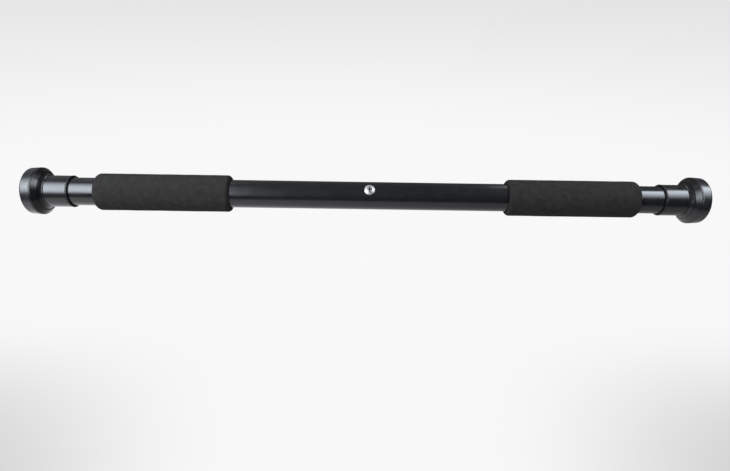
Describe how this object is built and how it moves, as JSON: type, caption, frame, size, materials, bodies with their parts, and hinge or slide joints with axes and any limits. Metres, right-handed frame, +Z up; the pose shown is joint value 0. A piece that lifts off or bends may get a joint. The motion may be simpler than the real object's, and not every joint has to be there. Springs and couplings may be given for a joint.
{
  "type": "pull up bar",
  "caption": "Straight doorway pull up bar with foam grips and round padded feet that screw out of both tube ends to press on the jambs.",
  "frame": {"origin": "middle of the bar, on its axis", "axes": "+X along the bar towards the foot with the right-hand thread, +Z up, -Y the front, where the centre screw is half way up"},
  "size_m": [0.776, 0.054, 0.054],
  "materials": {
    "tube_black": "gloss black powder coat",
    "collar_black": "gloss black powder coat",
    "foam_grip": "matt black closed-cell foam",
    "black_plastic_ring": "satin black moulded plastic",
    "black_plastic_flange": "satin black moulded plastic",
    "pad_rubber": "satin black moulded rubber",
    "threaded_steel": "zinc-plated trapezoidal thread",
    "zinc_steel": "bright zinc plate",
    "sleeve_steel": "bare drawn steel",
    "spring_steel": "blackened spring steel",
    "screw_steel": "nickel-plated steel"
  },
  "bodies": {
    "bar": {"main_tube": "tube_black", "centre_sleeve": "sleeve_steel", "centre_screw": "screw_steel", "left_grip": "foam_grip", "right_grip": "foam_grip", "left_nut": "zinc_steel", "right_nut": "zinc_steel"},
    "left_slider": {"left_guide_ring": "black_plastic_ring"},
    "left_foot": {"left_collar": "collar_black", "left_flange": "black_plastic_flange", "left_end_pad": "pad_rubber", "left_screw_rod": "threaded_steel", "left_stop_ring": "zinc_steel", "left_stop_clip": "spring_steel", "left_pad_screw": "screw_steel", "left_pad_washer": "zinc_steel"},
    "right_slider": {"right_guide_ring": "black_plastic_ring"},
    "right_foot": {"right_collar": "collar_black", "right_flange": "black_plastic_flange", "right_end_pad": "pad_rubber", "right_screw_rod": "threaded_steel", "right_stop_ring": "zinc_steel", "right_stop_clip": "spring_steel", "right_pad_screw": "screw_steel", "right_pad_washer": "zinc_steel"}
  },
  "joints": [
    {"name": "left_travel", "type": "slide", "parent": "bar", "child": "left_slider", "axis": [-1, 0, 0], "range_m": [0, 0.112]},
    {"name": "left_turn", "type": "hinge", "parent": "left_slider", "child": "left_foot", "pos_m": [-0.372, 0, 0], "axis": [1, 0, 0], "range_deg": [0, 10080]},
    {"name": "right_travel", "type": "slide", "parent": "bar", "child": "right_slider", "axis": [1, 0, 0], "range_m": [0, 0.112]},
    {"name": "right_turn", "type": "hinge", "parent": "right_slider", "child": "right_foot", "pos_m": [0.372, 0, 0], "axis": [1, 0, 0], "range_deg": [0, 10080]}
  ],
  "couplings": [
    {"joint": "left_turn", "follows": "left_travel", "rad_per_m": 1570.8},
    {"joint": "right_turn", "follows": "right_travel", "rad_per_m": 1570.8}
  ]
}
